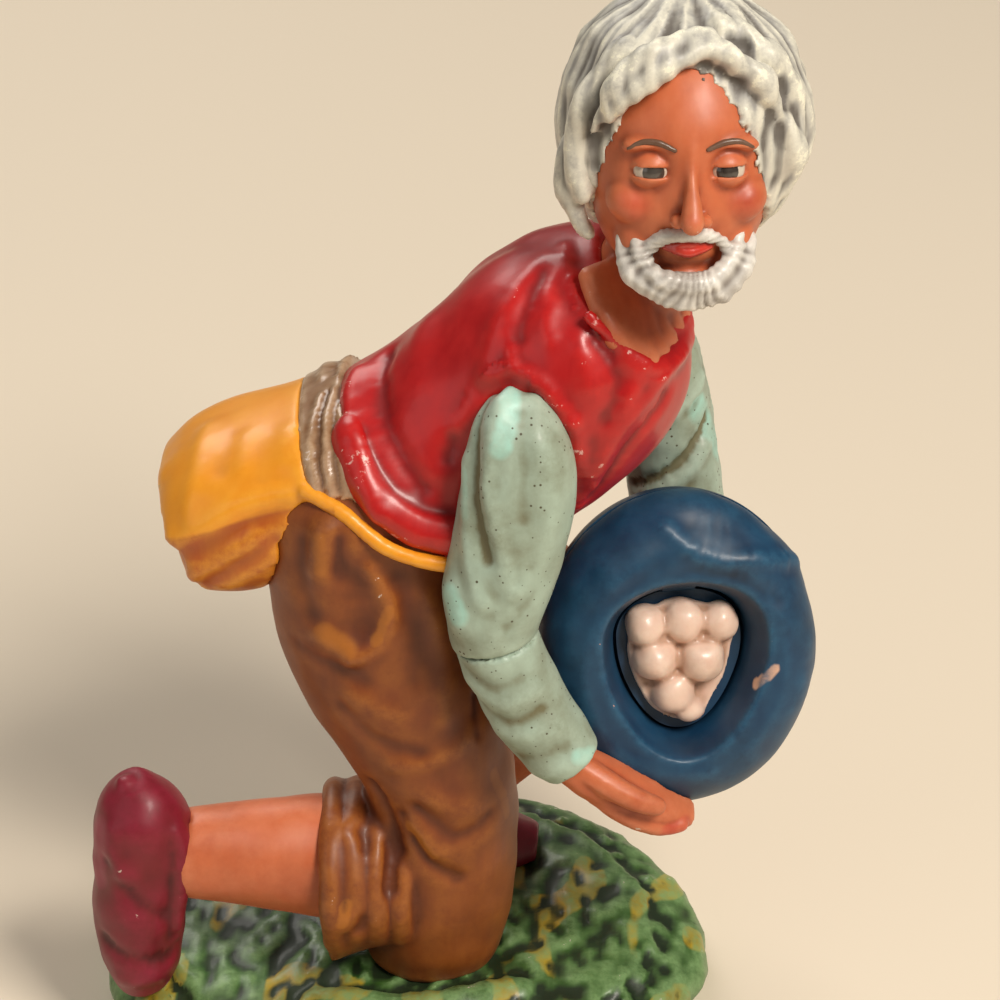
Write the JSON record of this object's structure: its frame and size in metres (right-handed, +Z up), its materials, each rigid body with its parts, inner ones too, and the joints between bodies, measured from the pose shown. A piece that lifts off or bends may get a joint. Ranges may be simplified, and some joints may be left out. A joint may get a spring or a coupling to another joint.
{
  "type": "bubbling ornament",
  "caption": "Kneeling bearded figure on a grassy oval base, holding a round basin whose hinged pebble flap lets air bubbles out.",
  "frame": {"origin": "middle of the base's underside, on the surface that the ornament stands on", "axes": "+Z up, +X the way the figure's body faces, +Y to the figure's left; the basin's mouth faces -Y and a little up"},
  "size_m": [0.0803, 0.066, 0.124],
  "materials": {
    "green_paint": "hand-painted moulded plastic, mottled greens, semi-gloss",
    "dark_plastic": "moulded",
    "clear_white_plastic": "moulded, polished",
    "black_rubber": "soft",
    "silicone": "translucent silicone",
    "air_stone": "sintered, porous",
    "trouser_paint": "rust brown paint with ochre dry-brushing, semi-gloss",
    "skin_paint": "flesh paint, semi-gloss",
    "shoe_paint": "dark crimson paint, satin",
    "tunic_paint": "orange-yellow paint with rusty shading, gloss",
    "sash_paint": "beige brown paint, gloss",
    "vest_paint": "deep red paint, gloss",
    "hair_paint": "grey paint with ivory dry-brushing",
    "sleeve_paint": "pale teal paint with grey wash, satin",
    "basin_paint": "deep blue paint, satin",
    "pebble_paint": "pinkish white, glossy",
    "flap_plastic": "moulded",
    "pin_steel": "stainless wire"
  },
  "bodies": {
    "figure": {"air_inlet": "clear_white_plastic", "air_stone": "air_stone", "air_tube": "silicone", "base_mound": "green_paint", "base_plate": "dark_plastic", "basin_back": "basin_paint", "basin_front": "basin_paint", "beard": "hair_paint", "flap_pin": "pin_steel", "hair": "hair_paint", "head": "skin_paint", "inlet_seal": "black_rubber", "left_calf": "skin_paint", "left_forearm_sleeve": "sleeve_paint", "left_hand": "skin_paint", "left_shoe": "shoe_paint", "left_trouser_leg": "trouser_paint", "left_upper_sleeve": "sleeve_paint", "neck": "skin_paint", "right_calf": "skin_paint", "right_forearm_sleeve": "sleeve_paint", "right_hand": "skin_paint", "right_shoe": "shoe_paint", "right_trouser_leg": "trouser_paint", "right_upper_sleeve": "sleeve_paint", "trouser_seat": "trouser_paint", "tunic_skirt": "tunic_paint", "vest": "vest_paint", "waist_sash": "sash_paint"},
    "flap": {"pebble_flap": "flap_plastic", "pebbles": "pebble_paint"}
  },
  "joints": [
    {"name": "flap_hinge", "type": "hinge", "parent": "figure", "child": "flap", "pos_m": [0.03007, -0.0023, 0.05764], "axis": [-0.9903, -0.1392, 0], "range_deg": [0, 30]}
  ]
}
